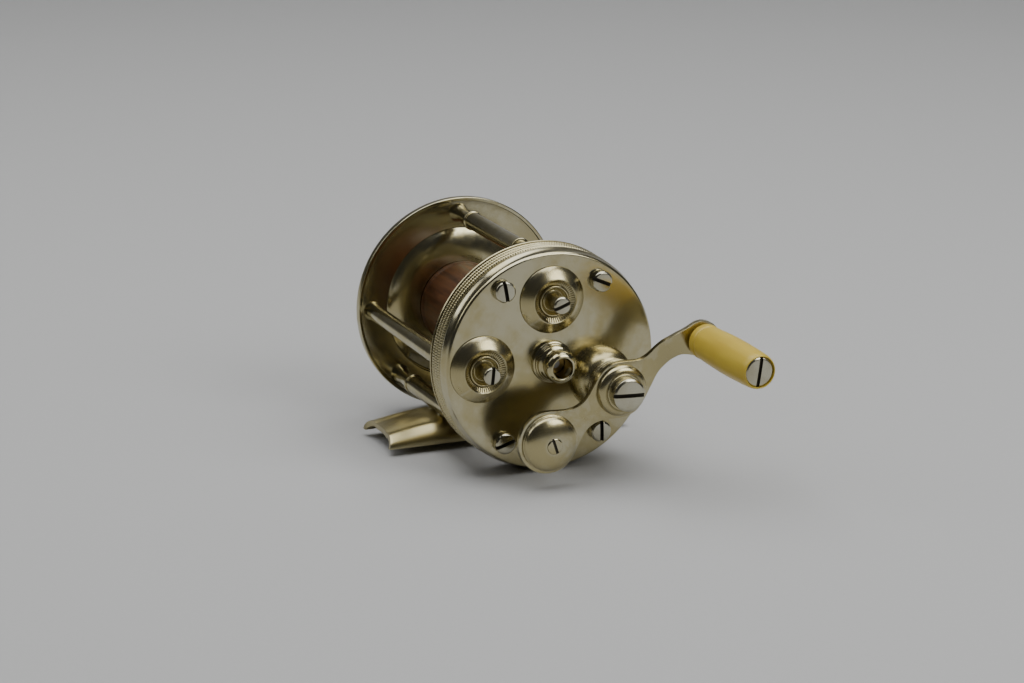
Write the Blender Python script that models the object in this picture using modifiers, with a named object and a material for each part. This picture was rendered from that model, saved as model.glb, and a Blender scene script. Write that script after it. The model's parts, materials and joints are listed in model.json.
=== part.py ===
"""Kentucky-style multiplying bait-casting reel, built as its separate bench parts.

Frame: X runs along the spool, with the crank on the +X side. Y runs along the foot
and Z is up. The pieces are laid out from the point halfway between the two plates,
under the spool. An empty that they all hang from then moves them, so that the origin
is the middle of the whole reel's footprint. Z = 0 is the surface that both plate
rims stand on.
"""
import bmesh
import bpy
import math
from mathutils import Quaternion

# ---- Driving dimensions (metres) ------------------------------------------------
MM = 0.001
RIM = 25.4 * MM                      # radius of the head and tail plates (2 in plates)
AXIS_Z = RIM                         # height of the spool axis: the rims stand on Z = 0
INNER = 0.90 * RIM                   # inner face of each plate, measured from X = 0
HEAD_DEPTH = 0.35 * RIM              # inner face of the head to its front face
FACE = INNER + HEAD_DEPTH            # front face of the head
TAIL_THICK = 2.5 * MM

GAP = 0.1 * MM                       # between faces that rest on each other
RUN = 0.08 * MM                      # radial running clearance on shafts
PRESS = 0.05 * MM                    # round a shaft that its neighbour is pressed on

CRANK_Y = 0.47 * RIM                 # crank axis, measured from the spool axis
CRANK_DROP = 0.198 * RIM
CRANK_ANGLE = math.radians(30)       # the arm's tilt above level, at rest
KNOB_REACH = 0.815 * RIM             # crank axis to knob axis
WEIGHT_REACH = 0.78 * RIM            # crank axis to counterweight

GEAR_TEETH = 48
PINION_TEETH = 12
RATCHET_TEETH = 14

BUTTON_OUT = 16.5 * MM               # radius of a button's centre at each end of its slot
BUTTON_IN = 14.1 * MM
BUTTON_TRAVEL = BUTTON_OUT - BUTTON_IN

PILLAR_REACH = 0.855 * RIM
FOOT_PILLAR_REACH = 0.87 * RIM
FOOT_PILLAR_ANGLE = math.radians(47)  # below level, in front and behind
PILLAR_RADIUS = 2.05 * MM

FLANGE_RADIUS = 0.705 * RIM
ARBOR_RADIUS = 0.41 * RIM
SPOOL_SHAFT = 1.5 * MM
PIVOT = 1.0 * MM

FOOT_HALF_LENGTH = 1.17 * RIM
FOOT_LIFT = 1.6 * MM                 # the foot's lower edges, above the surface

BIG, MEDIUM, SMALL = 36, 20, 10      # steps round a turned piece


# ---- Scene, collections and materials -------------------------------------------
def clear_scene():
    for item in list(bpy.data.objects):
        bpy.data.objects.remove(item, do_unlink=True)


def collection(name):
    group = bpy.data.collections.new(name)
    bpy.context.scene.collection.children.link(group)
    return group


def material(name, colour, roughness, metallic):
    made = bpy.data.materials.new(name)
    made.use_nodes = True
    shader = made.node_tree.nodes["Principled BSDF"]
    shader.inputs["Base Color"].default_value = (*colour, 1.0)
    shader.inputs["Roughness"].default_value = roughness
    shader.inputs["Metallic"].default_value = metallic
    return made


clear_scene()
REEL = collection("casting_reel")
CUTTERS = collection("cutters")
NICKEL = material("nickel_silver", (0.56, 0.52, 0.38), 0.24, 1.0)
STEEL = material("steel", (0.50, 0.49, 0.46), 0.30, 1.0)
BRASS = material("brass", (0.70, 0.52, 0.24), 0.30, 1.0)
IVORY = material("ivory", (0.83, 0.68, 0.30), 0.32, 0.0)
WOOD = material("wood", (0.24, 0.11, 0.045), 0.55, 0.0)


# ---- Shared shape makers --------------------------------------------------------
def add_mesh(name, verts, edges, faces, finish, group=None):
    mesh = bpy.data.meshes.new(name)
    mesh.from_pydata(verts, edges, faces)
    made = bpy.data.objects.new(name, mesh)
    (group or REEL).objects.link(made)
    if finish:
        mesh.materials.append(finish)
    return made


def on_axis(thing, y=0.0, z=0.0, x=0.0):
    """Turn local +Z along world +X, with the origin on the axis at (y, z)."""
    thing.rotation_euler = (0, math.pi / 2, 0)
    thing.location = (x, y, AXIS_Z + z)
    return thing


def screw_round(thing, steps, merge=True):
    turn = thing.modifiers.new("turn", "SCREW")
    turn.axis = "Z"
    turn.angle = math.tau
    turn.steps = turn.render_steps = steps
    turn.use_merge_vertices = merge
    turn.merge_threshold = 1e-6
    turn.use_smooth_shade = True
    return thing


def turned(name, profile, finish, steps=MEDIUM, y=0.0, z=0.0, closed=False, group=None):
    """Turn (x, radius) points, from the +X end down the outside, about an X axis."""
    verts = [(radius, 0, x) for x, radius in profile]
    count = len(verts)
    edges = [(i, i + 1) for i in range(count - 1)]
    if closed:
        edges.append((count - 1, 0))
    made = add_mesh(name, verts, edges, [], finish, group)
    screw_round(made, steps)
    return on_axis(made, y, z)


def tube(name, x_low, x_high, outer, bore, finish, steps=MEDIUM, y=0.0, z=0.0):
    ring = [(x_high, outer), (x_low, outer), (x_low, bore), (x_high, bore)]
    return turned(name, ring, finish, steps, y, z, closed=True)


def hide_cutter(cutter):
    cutter.hide_render = True
    cutter.display_type = "WIRE"
    return cutter


def rod_cutter(x_low, x_high, radius, y=0.0, z=0.0, steps=SMALL):
    profile = [(x_high, 0), (x_high, radius), (x_low, radius), (x_low, 0)]
    return hide_cutter(turned("cut_rod", profile, None, steps, y, z, group=CUTTERS))


def upright_cutter(x, y, z_low, z_high, radius):
    """A vertical rod; z is measured from the standing surface here."""
    bpy.ops.mesh.primitive_cylinder_add(vertices=SMALL, radius=radius, depth=z_high - z_low,
                                        location=(x, y, (z_low + z_high) / 2))
    return into_cutters(bpy.context.object)


def box_cutter(size, centre, turn=0.0):
    bpy.ops.mesh.primitive_cube_add(size=1, location=centre, rotation=(turn, 0, 0))
    cutter = bpy.context.object
    cutter.scale = size
    bpy.ops.object.transform_apply(location=False, rotation=False, scale=True)
    return into_cutters(cutter)


def into_cutters(cutter):
    for group in list(cutter.users_collection):
        group.objects.unlink(cutter)
    CUTTERS.objects.link(cutter)
    return hide_cutter(cutter)


def boolean(target, other, operation="DIFFERENCE"):
    step = target.modifiers.new(operation.lower(), "BOOLEAN")
    step.operation = operation
    step.solver = "EXACT"
    step.object = other
    return target


def box(name, low, high, finish, bevel=0.0):
    size = [b - a for a, b in zip(low, high)]
    centre = [(a + b) / 2 for a, b in zip(low, high)]
    bpy.ops.mesh.primitive_cube_add(size=1, location=centre)
    made = bpy.context.object
    made.name = made.data.name = name
    made.scale = size
    bpy.ops.object.transform_apply(location=False, rotation=False, scale=True)
    for group in list(made.users_collection):
        group.objects.unlink(made)
    REEL.objects.link(made)
    made.data.materials.append(finish)
    if bevel:
        soften = made.modifiers.new("bevel", "BEVEL")
        soften.width = bevel
        soften.segments = 1
    return made


def slotted_screw(name, seat, side, head, rise, shank, length, y, z, slot_turn, finish=STEEL):
    """A domed, slotted screw along X whose head sits on seat and faces side (+1 or -1)."""
    dome = [(rise * part, head * math.sqrt(1 - 0.62 * part * part)) for part in (0.55, 0.92)]
    outline = [(rise, 0), *[(x, r) for x, r in reversed(dome)], (0, head),
               (0, shank), (-length, shank), (-length, 0)]
    if side < 0:
        outline = [(-x, r) for x, r in reversed(outline)]
    made = turned(name, [(seat + x, r) for x, r in outline], finish, SMALL, y, z)
    slot = box_cutter((rise * 1.1, head * 0.26, head * 3),
                      (seat + side * rise, y, AXIS_Z + z), slot_turn)
    return boolean(made, slot)


def polar(reach, angle):
    return reach * math.cos(angle), reach * math.sin(angle)


# ---- Head: plate, band, cover, bearing and screws -------------------------------
COVER_INNER = 24.0 * MM              # radius of the gear chamber
BAND_INNER = 24.6 * MM
PLATE_BACK = INNER + 2.35 * MM       # chamber side of the head's inner plate
BAND_FRONT = INNER + 4.5 * MM
COVER_SKIN = 1.3 * MM
FLANGE_POCKET = FLANGE_RADIUS + 0.35 * MM
POCKET_DEPTH = 1.35 * MM
SCREW_Y, SCREW_Z = 0.455 * RIM, 0.68 * RIM
COVER_SCREW_TURNS = {"upper_right": 66, "upper_left": 10, "lower_left": -73, "lower_right": 1}


def plate_profile(inner, outer, rim, bore, pocket, depth):
    """One plate from its outer face to its inner face, with the flange pocket."""
    return [(outer, rim), (inner, rim), (inner, pocket), (inner + depth, pocket),
            (inner + depth, bore), (outer, bore)]


def cover_screw_places():
    signs = {"upper_right": (1, 1), "upper_left": (-1, 1),
             "lower_left": (-1, -1), "lower_right": (1, -1)}
    return {name: (SCREW_Y * a, SCREW_Z * b) for name, (a, b) in signs.items()}


def make_head():
    plate = turned("head_plate", plate_profile(INNER, PLATE_BACK, BAND_INNER - GAP, SPOOL_SHAFT + RUN,
                                               FLANGE_POCKET, POCKET_DEPTH),
                   NICKEL, BIG, closed=True)
    boolean(plate, rod_cutter(INNER, PLATE_BACK + MM, PIVOT + RUN, CRANK_Y, -CRANK_DROP))
    for y, z in cover_screw_places().values():
        boolean(plate, rod_cutter(INNER + 0.6 * MM, PLATE_BACK + MM, 1.1 * MM, y, z))

    soft, wall = 0.3 * MM, (BAND_FRONT, BAND_INNER)
    beads = [(BAND_FRONT, RIM - soft), (BAND_FRONT - soft, RIM), (INNER + soft, RIM),
             (INNER, RIM - soft), (INNER, BAND_INNER), wall]
    turned("head_band", beads, NICKEL, BIG, closed=True)

    start = BAND_FRONT + GAP
    cover = [(FACE, 0.955 * RIM), (FACE - 0.3 * MM, 0.970 * RIM), (FACE - 2.6 * MM, 0.990 * RIM),
             (start, 0.985 * RIM),
             (start, BAND_INNER - GAP), (PLATE_BACK + GAP, BAND_INNER - GAP),
             (PLATE_BACK + GAP, COVER_INNER), (FACE - COVER_SKIN, COVER_INNER),
             (FACE - COVER_SKIN, 2.6 * MM), (FACE, 2.6 * MM)]
    made = turned("head_cover", cover, NICKEL, BIG, closed=True)
    boolean(made, rod_cutter(FACE - 2 * MM, FACE + MM, 3.3 * MM, CRANK_Y, -CRANK_DROP, MEDIUM))
    for y, z in cover_screw_places().values():
        boolean(made, rod_cutter(FACE - 2 * MM, FACE + MM, 1.1 * MM, y, z))
    middle = (BUTTON_OUT + BUTTON_IN) / 2
    long, wide = BUTTON_TRAVEL + 2.4 * MM, 2.3 * MM
    boolean(made, box_cutter((4 * MM, long, wide), (FACE - MM, -middle, AXIS_Z)))
    boolean(made, box_cutter((4 * MM, wide, long), (FACE - MM, 0, AXIS_Z + middle)))

    for name, (y, z) in cover_screw_places().items():
        slotted_screw("cover_screw_" + name, FACE + GAP, 1, 2.35 * MM, 1.9 * MM, 1.0 * MM,
                      FACE + GAP - INNER - 0.8 * MM, y, z, math.radians(COVER_SCREW_TURNS[name]))


CAP_LENGTH = 6.6 * MM


def cap_profile(seat, side):
    """Bearing cap: collar, waist, bead, barrel and rolled lip round an open bore."""
    bore = 2.2 * MM
    shape = [(6.3, 3.35), (4.5, 3.35), (3.7, 2.95), (2.7, 3.9),
             (1.4, 3.6), (0.5, 4.65), (0.0, 4.65), (0.0, 2.5), (-1.2, 2.5)]
    outline = [(CAP_LENGTH, 2.8 * MM)] + [(x * MM, r * MM) for x, r in shape]
    outline += [(-1.2 * MM, bore), (CAP_LENGTH, bore)]
    if side < 0:
        outline = [(-x, r) for x, r in reversed(outline)]
    return [(seat + x, r) for x, r in outline]


def make_bearings():
    head_seat, tail_seat = FACE + GAP, -INNER - TAIL_THICK - GAP
    turned("head_bearing_cap", cap_profile(head_seat, 1), NICKEL, MEDIUM, closed=True)
    turned("tail_bearing_cap", cap_profile(tail_seat, -1), NICKEL, MEDIUM, closed=True)
    tube("head_bush", head_seat - 1.0 * MM, head_seat + 2.0 * MM, 2.1 * MM, PIVOT + RUN, BRASS, SMALL)
    tube("tail_bush", tail_seat - 2.0 * MM, tail_seat + 1.0 * MM, 2.1 * MM, PIVOT + RUN, BRASS, SMALL)


# ---- Tail plate and its rim -----------------------------------------------------
TAIL_SCREW_TURNS = {"top": 12, "front": 75, "rear": -40, "foot_front": 33, "foot_rear": -66}


def make_tail():
    profile = plate_profile(INNER, INNER + TAIL_THICK, BAND_INNER - GAP, 2.6 * MM,
                            FLANGE_POCKET, POCKET_DEPTH)
    mirrored = [(-x, r) for x, r in reversed(profile)]
    plate = turned("tail_plate", mirrored, NICKEL, BIG, closed=True)
    for name, (y, z) in pillar_places().items():
        boolean(plate, rod_cutter(-INNER - TAIL_THICK - MM, -INNER + MM, 1.1 * MM, y, z))
        slotted_screw("tail_screw_" + name, -INNER - TAIL_THICK - GAP, -1, 1.9 * MM, 1.1 * MM,
                      0.95 * MM, 5.5 * MM, y, z, math.radians(TAIL_SCREW_TURNS[name]))
    low, high = -INNER - TAIL_THICK - 0.4 * MM, -INNER + 0.35 * MM
    rim = [(high, RIM), (low, RIM), (low, BAND_INNER), (high, BAND_INNER)]
    turned("tail_rim", rim, NICKEL, BIG, closed=True)


# ---- Pillars --------------------------------------------------------------------
def pillar_places():
    foot_y, foot_z = polar(FOOT_PILLAR_REACH, FOOT_PILLAR_ANGLE)
    return {"top": (0, PILLAR_REACH), "front": (-PILLAR_REACH, 0), "rear": (PILLAR_REACH, 0),
            "foot_front": (-foot_y, -foot_z), "foot_rear": (foot_y, -foot_z)}


def half_pillar(end):
    """(distance from the middle, radius) from the middle to one end."""
    ring = 15.0 * MM
    waist = PILLAR_RADIUS - 0.35 * MM
    return [(0, PILLAR_RADIUS), (ring - 1.2 * MM, PILLAR_RADIUS), (ring - 0.8 * MM, PILLAR_RADIUS + 0.3 * MM),
            (ring, waist), (end - 3.0 * MM, waist), (end, PILLAR_RADIUS + 0.35 * MM)]


def make_pillars():
    end = INNER - GAP
    half = half_pillar(end)
    thread = 1.05 * MM
    for name, (y, z) in pillar_places().items():
        profile = [(end, 0)] + list(reversed(half[1:])) + [(-x, r) for x, r in half[1:]]
        profile += [(-end, thread), (-end + 3.5 * MM, thread), (-end + 3.5 * MM, 0)]
        pillar = turned("pillar_" + name, profile, NICKEL, SMALL, y, z)
        if name.startswith("foot"):
            for x in FOOT_SCREW_X:
                boolean(pillar, upright_cutter(x, y, 3 * MM, AXIS_Z + z + 0.6 * MM, 0.95 * MM))


# ---- Foot: an arched, tapered plate, hollow underneath --------------------------
FOOT_SCREW_X = (-2.6 * MM, 2.6 * MM)
FOOT_WALL = 1.35 * MM
FOOT_MID_HALF_WIDTH, FOOT_TIP_HALF_WIDTH = 9.0 * MM, 8.8 * MM
FOOT_TOP = AXIS_Z - FOOT_PILLAR_REACH * math.sin(FOOT_PILLAR_ANGLE) - PILLAR_RADIUS - GAP
FOOT_TIP_TOP = 5.0 * MM
FOOT_END_CUT = 1.2 * MM              # how far the arch is cut back at each end


def foot_section(y, arc_points=9):
    """One arch section at y: the outside from -X to +X, then the inside back again."""
    along = max(0.0, (abs(y) - 15 * MM) / (FOOT_HALF_LENGTH - 15 * MM))
    half = FOOT_MID_HALF_WIDTH + (FOOT_TIP_HALF_WIDTH - FOOT_MID_HALF_WIDTH) * along
    top = FOOT_TOP + (FOOT_TIP_TOP - FOOT_TOP) * along ** 1.5 - FOOT_LIFT
    wall = FOOT_WALL * (1 - 0.15 * along)
    cut_back = math.copysign(FOOT_END_CUT * along ** 3, y)
    section = []
    for a_half, a_top, order in ((half, top, 1), (half - wall, top - wall, -1)):
        for i in range(arc_points)[::order]:
            t = math.pi * (1 - i / (arc_points - 1))
            rise = math.sin(t) if 0 < i < arc_points - 1 else 0.0
            section.append((a_half * math.cos(t), y - cut_back * rise, FOOT_LIFT + a_top * rise ** 0.85))
    return section


def make_foot():
    stations = [-1.0, -0.84, -0.68, -0.51, 0.0, 0.51, 0.68, 0.84, 1.0]
    rings = [foot_section(s * FOOT_HALF_LENGTH) for s in stations]
    size = len(rings[0])
    verts = [point for ring in rings for point in ring]
    faces = []
    for a in range(len(rings) - 1):
        for b in range(size):
            c = (b + 1) % size
            faces.append((a * size + b, a * size + c, (a + 1) * size + c, (a + 1) * size + b))
    half = size // 2
    for start, flip in ((0, False), ((len(rings) - 1) * size, True)):
        for b in range(half - 1):
            quad = [start + b, start + size - 1 - b, start + size - 2 - b, start + b + 1]
            faces.append(tuple(reversed(quad)) if flip else tuple(quad))
    foot = add_mesh("foot", verts, [], faces, NICKEL)
    foot_y = pillar_places()["foot_rear"][0]
    for side, y in (("front", -foot_y), ("rear", foot_y)):
        for number, x in enumerate(FOOT_SCREW_X, 1):
            boolean(foot, upright_cutter(x, y, 2 * MM, FOOT_TOP + MM, 0.95 * MM))
            foot_screw("foot_screw_%s_%d" % (side, number), x, y)
    return foot


def foot_screw(name, x, y):
    head_low, head_high, tip = 3.5 * MM, 4.4 * MM, FOOT_TOP + 2.2 * MM
    profile = [(0, tip), (0.8 * MM, tip), (0.8 * MM, head_high), (1.5 * MM, head_high),
               (1.5 * MM, head_low + 0.2 * MM), (1.2 * MM, head_low), (0, head_low)]
    screw = add_mesh(name, [(r, 0, z) for r, z in profile], [(i, i + 1) for i in range(6)], [], STEEL)
    screw_round(screw, SMALL)
    screw.location = (x, y, 0)
    boolean(screw, box_cutter((0.4 * MM, 4 * MM, 0.7 * MM), (x, y, head_low)))


# ---- Spool: shaft, flanges, arbor, pinion and click ratchet ---------------------
RATCHET_LOW, RATCHET_HIGH = PLATE_BACK + 0.5 * MM, PLATE_BACK + 1.6 * MM
GEAR_LOW, GEAR_HIGH = PLATE_BACK + 2.4 * MM, PLATE_BACK + 4.0 * MM
RATCHET_TIP = 3.6 * MM
CENTRES = math.hypot(CRANK_Y, CRANK_DROP)
MODULE = 2 * CENTRES / (GEAR_TEETH + PINION_TEETH)
PINION_BORE = 1.2 * MM


def flange_profile(side):
    """A dished spool flange whose rim lies flush in its plate's pocket."""
    back = INNER + POCKET_DEPTH - 0.35 * MM
    shape = [(back, FLANGE_RADIUS), (INNER + 0.05 * MM, FLANGE_RADIUS),
             (INNER - 0.1 * MM, FLANGE_RADIUS - 0.3 * MM),
             (INNER - 0.25 * MM, 14.0 * MM), (INNER - 0.9 * MM, ARBOR_RADIUS + 0.9 * MM),
             (INNER - 1.0 * MM, SPOOL_SHAFT + PRESS), (back, SPOOL_SHAFT + PRESS)]
    return shape if side > 0 else [(-x, r) for x, r in reversed(shape)]


def tooth_outline(teeth, thin, addendum, dedendum, phase):
    """Involute teeth about the origin; thin is the backlash, as a share of a tooth."""
    pitch = MODULE * teeth / 2
    base = pitch * math.cos(math.radians(20))
    root, tip = pitch - dedendum * MODULE, pitch + addendum * MODULE
    half = math.pi / (2 * teeth) * (1 - thin)

    def involute(radius):
        if radius <= base:
            return 0.0
        roll = math.sqrt(radius * radius / (base * base) - 1)
        return roll - math.atan(roll)

    def flank(radius):
        return half + involute(pitch) - involute(radius)

    low = max(root, base)
    radii = [low, tip]
    points = []
    for i in range(teeth):
        centre = phase + math.tau * i / teeth
        rising = [(root, centre - flank(low))] if root < base else []
        rising += [(r, centre - flank(r)) for r in radii]
        points += rising + [(r, 2 * centre - a) for r, a in reversed(rising)]
    return [(r * math.cos(a), r * math.sin(a)) for r, a in points]


def ratchet_outline(teeth, root, tip):
    points = []
    for i in range(teeth):
        for share, radius in ((0.0, root), (0.35, tip), (0.65, tip)):
            a = math.tau * (i + share) / teeth
            points.append((radius * math.cos(a), radius * math.sin(a)))
    return points


def wheel(name, outline, low, high, bore, finish, y=0.0, z=0.0):
    """Extrude a (y, z) outline from low to high along X, and bore it through."""
    curve = bpy.data.curves.new(name, "CURVE")
    curve.dimensions = "2D"
    curve.fill_mode = "BOTH"
    curve.extrude = (high - low) / 2
    curve.resolution_u = 1
    curve.render_resolution_u = 0
    line = curve.splines.new("POLY")
    line.points.add(len(outline) - 1)
    for point, (a, b) in zip(line.points, outline):
        point.co = (-b, a, 0, 1)
    line.use_cyclic_u = True
    drawn = bpy.data.objects.new(name + "_outline", curve)
    REEL.objects.link(drawn)
    on_axis(drawn, y, z, (low + high) / 2)
    made = curve_to_mesh(drawn, name, finish)
    return boolean(made, rod_cutter(low - MM, high + MM, bore, y, z, MEDIUM))


def curve_to_mesh(drawn, name, finish):
    bpy.context.view_layer.update()
    ready = drawn.evaluated_get(bpy.context.evaluated_depsgraph_get())
    mesh = bpy.data.meshes.new_from_object(ready)
    weld(mesh)
    mesh.name = name
    mesh.materials.clear()
    mesh.materials.append(finish)
    made = bpy.data.objects.new(name, mesh)
    REEL.objects.link(made)
    made.matrix_world = drawn.matrix_world
    bpy.data.objects.remove(drawn, do_unlink=True)
    return made


def weld(mesh):
    work = bmesh.new()
    work.from_mesh(mesh)
    bmesh.ops.remove_doubles(work, verts=work.verts, dist=1e-7)
    bmesh.ops.recalc_face_normals(work, faces=work.faces)
    work.to_mesh(mesh)
    work.free()


def make_spool():
    tail_end, head_end = -INNER - TAIL_THICK - 2.2 * MM, FACE + 2.2 * MM
    turned("spool_shaft", [
        (head_end, 0), (head_end, PIVOT), (GEAR_HIGH + 0.6 * MM, PIVOT),
        (GEAR_HIGH + 0.6 * MM, PINION_BORE), (RATCHET_HIGH + 0.25 * MM, PINION_BORE),
        (RATCHET_HIGH + 0.25 * MM, SPOOL_SHAFT), (-INNER - 0.9 * MM, SPOOL_SHAFT),
        (-INNER - 0.9 * MM, PIVOT), (tail_end, PIVOT), (tail_end, 0)], STEEL, SMALL)
    turned("head_flange", flange_profile(1), NICKEL, BIG, closed=True)
    turned("tail_flange", flange_profile(-1), NICKEL, BIG, closed=True)
    end = INNER - 1.0 * MM - GAP
    turned("arbor", [(end, ARBOR_RADIUS + 0.6 * MM), (end - 1.2 * MM, ARBOR_RADIUS),
                     (-end + 1.2 * MM, ARBOR_RADIUS), (-end, ARBOR_RADIUS + 0.6 * MM),
                     (-end, SPOOL_SHAFT + PRESS), (end, SPOOL_SHAFT + PRESS)],
           WOOD, MEDIUM, closed=True)
    line_up = math.atan2(-CRANK_DROP, CRANK_Y)
    wheel("pinion", tooth_outline(PINION_TEETH, 0.22, 0.75, 1.1, line_up + math.pi / PINION_TEETH),
          GEAR_LOW - 0.3 * MM, GEAR_HIGH + 0.3 * MM, PINION_BORE + 0.03 * MM, BRASS)
    wheel("click_ratchet", ratchet_outline(RATCHET_TEETH, 2.9 * MM, RATCHET_TIP),
          RATCHET_LOW, RATCHET_HIGH, SPOOL_SHAFT + 0.03 * MM, STEEL)
    wheel("main_gear", tooth_outline(GEAR_TEETH, 0.22, 0.75, 1.1, line_up + math.pi),
          GEAR_LOW, GEAR_HIGH, 2.05 * MM, BRASS, CRANK_Y, -CRANK_DROP)


# ---- Crank: boss, shaft, collar, arm, washer, screws, counterweight and knob -----
BOSS_TOP = FACE + 0.265 * RIM
COLLAR_TOP = FACE + 0.365 * RIM
ARM_THICK = 1.4 * MM
ARM_FRONT = COLLAR_TOP + GAP + ARM_THICK
ARM_LIFT = 0.135 * RIM               # the arm's bend outward, towards the knob
SHAFT_RADIUS = 2.45 * MM
HUB_HALF, WEIGHT_HALF, KNOB_END_HALF = 0.25 * RIM, 0.28 * RIM, 0.17 * RIM
WAIST_HALF, NECK_HALF = 0.11 * RIM, 0.092 * RIM
NECK_BEND = 0.085 * RIM


def knob_place():
    y, z = polar(KNOB_REACH, CRANK_ANGLE)
    return CRANK_Y + y, z - CRANK_DROP


def weight_place():
    y, z = polar(WEIGHT_REACH, CRANK_ANGLE)
    return CRANK_Y - y, -z - CRANK_DROP


def ease(value, low, high):
    share = min(1.0, max(0.0, (value - low) / (high - low)))
    return 0.5 - 0.5 * math.cos(math.pi * share)


def arm_half_width(s):
    """Half the arm's width at s along it: round ends, round hub, narrow between."""
    if s < -WEIGHT_REACH:
        return math.sqrt(max(0.0, WEIGHT_HALF ** 2 - (s + WEIGHT_REACH) ** 2))
    if s < -0.38 * RIM:
        return WEIGHT_HALF + (WAIST_HALF - WEIGHT_HALF) * ease(s, -WEIGHT_REACH, -0.38 * RIM)
    if s < 0:
        return WAIST_HALF + (HUB_HALF - WAIST_HALF) * ease(s, -0.38 * RIM, 0)
    if s < 0.40 * RIM:
        return HUB_HALF + (NECK_HALF - HUB_HALF) * ease(s, 0, 0.40 * RIM)
    if s < KNOB_REACH:
        return NECK_HALF + (KNOB_END_HALF - NECK_HALF) * ease(s, 0.56 * RIM, KNOB_REACH)
    return math.sqrt(max(0.0, KNOB_END_HALF ** 2 - (s - KNOB_REACH) ** 2))


def arm_stations():
    """Places along the arm, close together round its ends."""
    left = [-WEIGHT_REACH - WEIGHT_HALF * math.cos(math.radians(a)) for a in (8, 22, 36, 52, 70)]
    right = [KNOB_REACH + KNOB_END_HALF * math.sin(math.radians(a)) for a in (20, 38, 54, 68, 82)]
    count = 26
    middle = [-WEIGHT_REACH + (KNOB_REACH + WEIGHT_REACH) * i / count for i in range(count + 1)]
    return left + middle + right


def make_arm():
    """A flat strip, narrow at its waists and bent outward at the knob, made thick."""
    verts, faces = [], []
    columns = (-1.0, 0.0, 1.0)
    stations = arm_stations()
    for s in stations:
        half = arm_half_width(s)
        bend = NECK_BEND * (ease(s, 0.25 * RIM, 0.56 * RIM) - ease(s, 0.58 * RIM, KNOB_REACH))
        lift = ARM_LIFT * ease(s, 0.30 * RIM, 0.72 * RIM)
        for column in columns:
            verts.append((-(bend + column * half), s, lift))
    wide = len(columns)
    for i in range(len(stations) - 1):
        for j in range(wide - 1):
            a = i * wide + j
            faces.append((a, a + wide, a + wide + 1, a + 1))
    arm = add_mesh("crank_arm", verts, [], faces, NICKEL)
    thick = arm.modifiers.new("thickness", "SOLIDIFY")
    thick.thickness = ARM_THICK
    thick.offset = -1.0
    thick.use_even_offset = True
    # Local +Z goes along world +X, then the strip is turned about X to the arm's tilt.
    arm.rotation_mode = "QUATERNION"
    tilt = Quaternion((1, 0, 0), CRANK_ANGLE) @ Quaternion((0, 1, 0), math.pi / 2)
    arm.rotation_quaternion = tilt
    arm.location = (ARM_FRONT, CRANK_Y, AXIS_Z - CRANK_DROP)
    far = ARM_FRONT + ARM_LIFT + MM
    near = ARM_FRONT - 2 * ARM_THICK
    boolean(arm, rod_cutter(near, far, SHAFT_RADIUS + PRESS, CRANK_Y, -CRANK_DROP, MEDIUM))
    boolean(arm, rod_cutter(near, far, 1.15 * MM, *weight_place()))
    boolean(arm, rod_cutter(near, far, 1.35 * MM, *knob_place()))
    return arm


def make_crank():
    y, z = CRANK_Y, -CRANK_DROP
    bore = SHAFT_RADIUS + RUN
    seat = FACE + GAP
    rise = BOSS_TOP - GAP - seat
    dome = [(seat + rise * f, r * RIM) for f, r in
            ((1.0, 0.150), (0.80, 0.165), (0.60, 0.212), (0.35, 0.260), (0.0, 0.285))]
    turned("crank_boss", dome + [(seat, 3.2 * MM), (FACE - COVER_SKIN + 0.2 * MM, 3.2 * MM),
                                 (FACE - COVER_SKIN + 0.2 * MM, bore), (BOSS_TOP - GAP, bore)],
           NICKEL, MEDIUM, y, z, closed=True)
    # The collar is a stack of two beads.
    high, low, wide = COLLAR_TOP, BOSS_TOP, 0.248 * RIM
    step = (high - low) / 6
    beads = [(high, wide), (high - 1.6 * step, wide), (high - 2 * step, wide - 0.35 * MM),
             (high - 2.4 * step, wide), (high - 5.5 * step, wide - 0.1 * MM), (low, wide - 0.5 * MM),
             (low, SHAFT_RADIUS + PRESS), (high, SHAFT_RADIUS + PRESS)]
    turned("crank_collar", beads, NICKEL, MEDIUM, y, z, closed=True)
    shaft_top, thread = ARM_FRONT - PRESS, 1.55 * MM
    turned("crank_shaft", [
        (shaft_top, SHAFT_RADIUS), (GEAR_HIGH + 0.1 * MM, SHAFT_RADIUS), (GEAR_HIGH + 0.1 * MM, 2.0 * MM),
        (PLATE_BACK + 0.3 * MM, 2.0 * MM), (PLATE_BACK + 0.3 * MM, PIVOT), (PLATE_BACK - 0.9 * MM, PIVOT),
        (PLATE_BACK - 0.9 * MM, 0), (shaft_top - 5 * MM, 0), (shaft_top - 5 * MM, thread),
        (shaft_top, thread)], STEEL, SMALL, y, z, closed=True)
    make_arm()
    low = ARM_FRONT + GAP
    turned("crank_washer", [
        (low + 2.1 * MM, 0.165 * RIM), (low + 1.4 * MM, 0.197 * RIM),
        (low + 0.3 * MM, 0.228 * RIM), (low, 0.228 * RIM),
        (low, thread), (low + 2.1 * MM, thread)], NICKEL, MEDIUM, y, z, closed=True)
    slotted_screw("crank_screw", low + 2.1 * MM + GAP, 1, 0.147 * RIM, 2.6 * MM, 1.45 * MM,
                  2.1 * MM + 2 * GAP + 4.5 * MM, y, z, math.radians(-93))
    make_counterweight()
    make_knob()


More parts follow.
